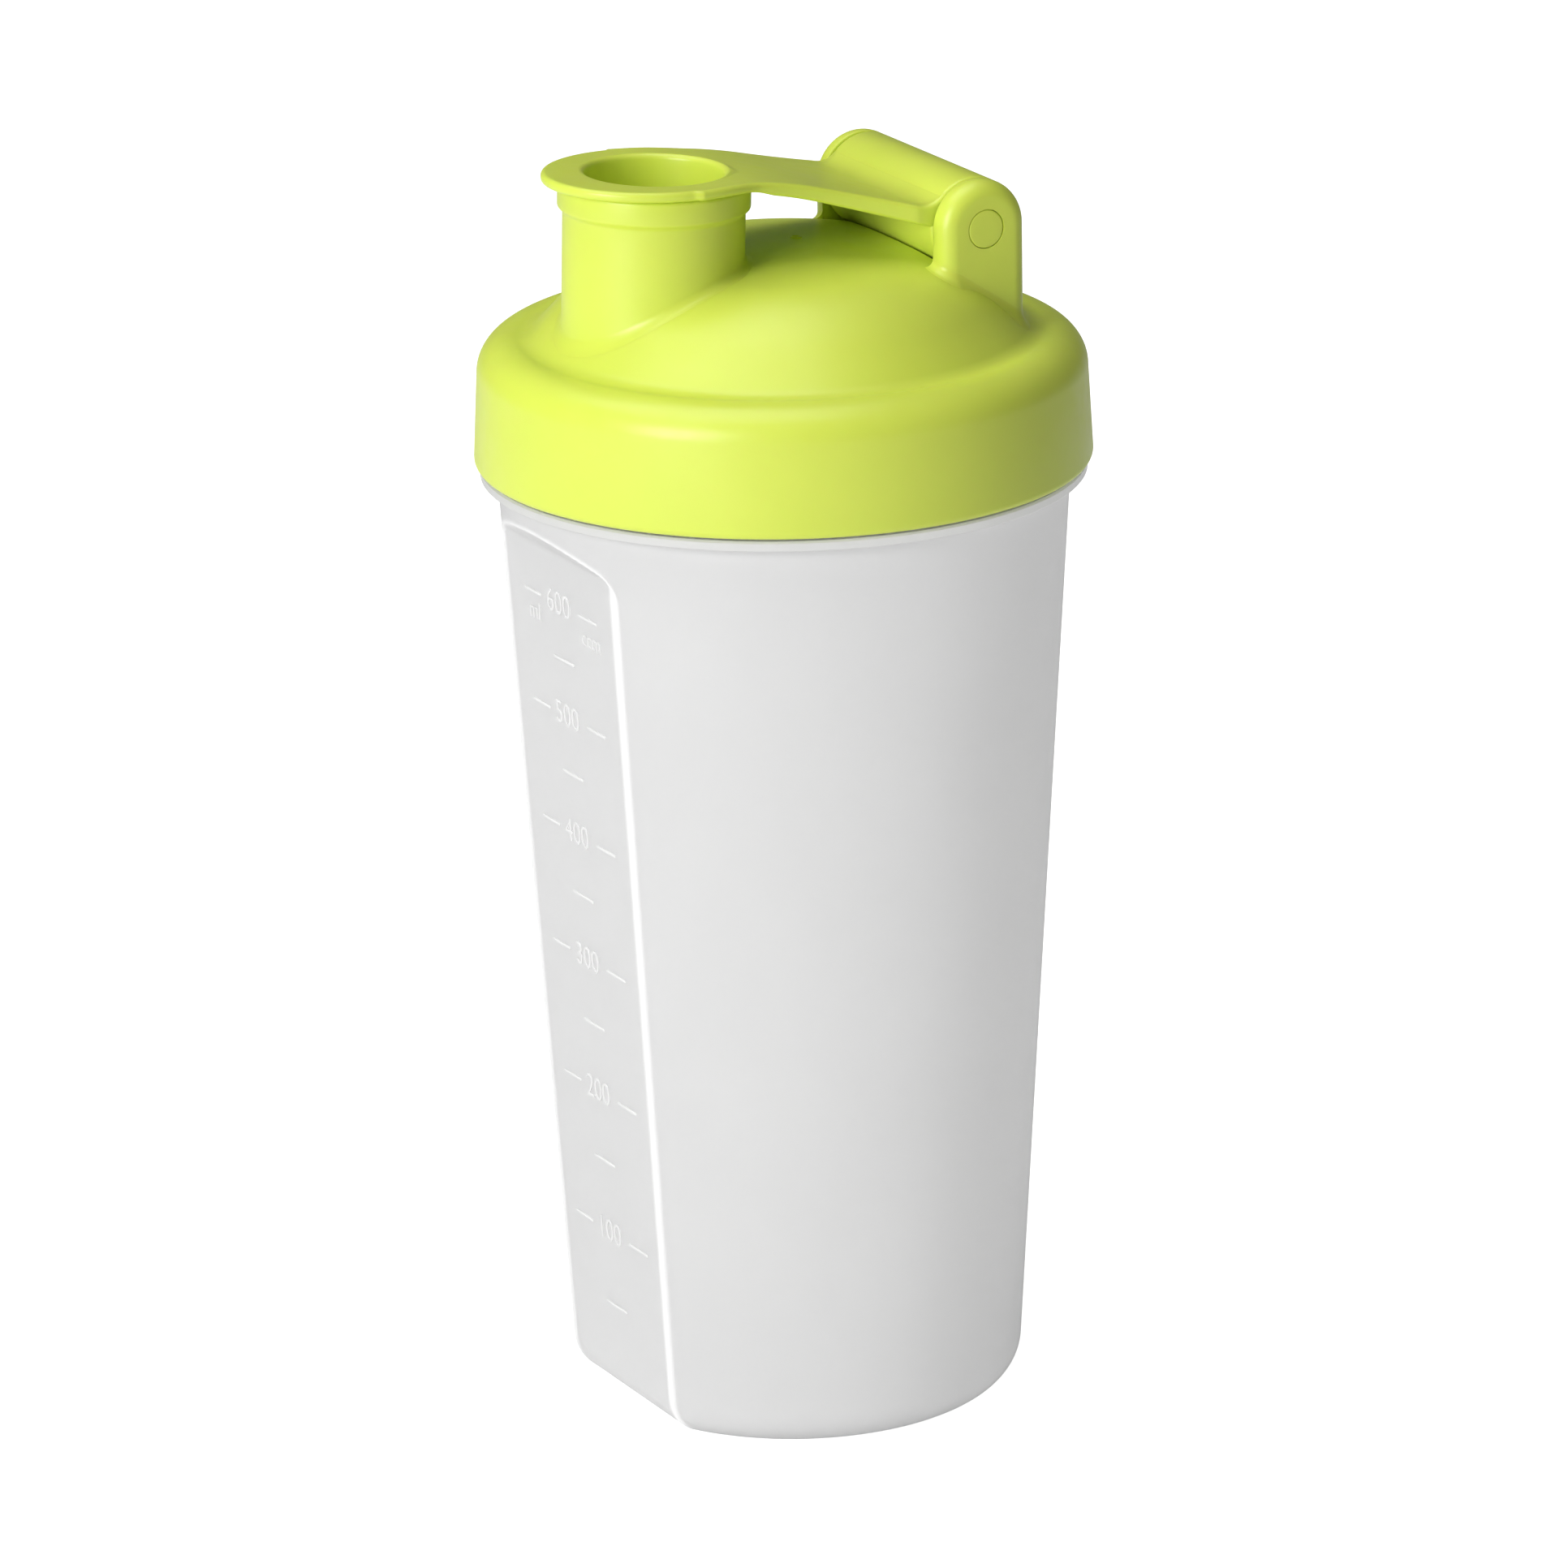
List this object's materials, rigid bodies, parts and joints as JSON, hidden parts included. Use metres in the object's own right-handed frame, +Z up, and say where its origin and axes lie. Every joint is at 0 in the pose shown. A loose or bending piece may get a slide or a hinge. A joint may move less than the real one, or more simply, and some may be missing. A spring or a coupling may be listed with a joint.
{
  "type": "protein shaker bottle",
  "caption": "Tapered translucent shaker cup with a flat scale panel, a lime screw lid and a hinged flip cap that plugs the drinking spout.",
  "frame": {"origin": "centre of the base, on the surface it stands on", "axes": "+Z up along the cup, -Y towards the spout and the scale panel, +Y towards the hinge, +X to the right of the hinge seen from the spout"},
  "size_m": [0.0966, 0.0966, 0.2022],
  "materials": {
    "frosted_plastic": "satin",
    "lime_plastic": "satin",
    "white_silicone": "matte",
    "white_plastic": "satin"
  },
  "bodies": {
    "cup": {"cup": "frosted_plastic"},
    "gasket": {"lid_gasket": "white_silicone"},
    "lid": {"screw_lid": "lime_plastic", "hinge_pin": "lime_plastic"},
    "cap": {"flip_cap": "lime_plastic"},
    "strainer": {"strainer": "white_plastic"}
  },
  "joints": [
    {"name": "lid_lift", "type": "slide", "parent": "cup", "child": "gasket", "axis": [0, 0, 1], "range_m": [0, 0.0185]},
    {"name": "lid_turn", "type": "hinge", "parent": "gasket", "child": "lid", "pos_m": [0, 0, 0.16], "axis": [0, 0, 1], "range_deg": [0, 1080]},
    {"name": "cap_flip", "type": "hinge", "parent": "lid", "child": "cap", "pos_m": [0, 0.0245, 0.1907], "axis": [-1, 0, 0], "range_deg": [0, 180]},
    {"name": "strainer_pull", "type": "slide", "parent": "lid", "child": "strainer", "axis": [0, 0, -1], "range_m": [0, 0.012]}
  ],
  "couplings": [
    {"joint": "lid_lift", "follows": "lid_turn", "m_per_rad": 0.00095493}
  ]
}
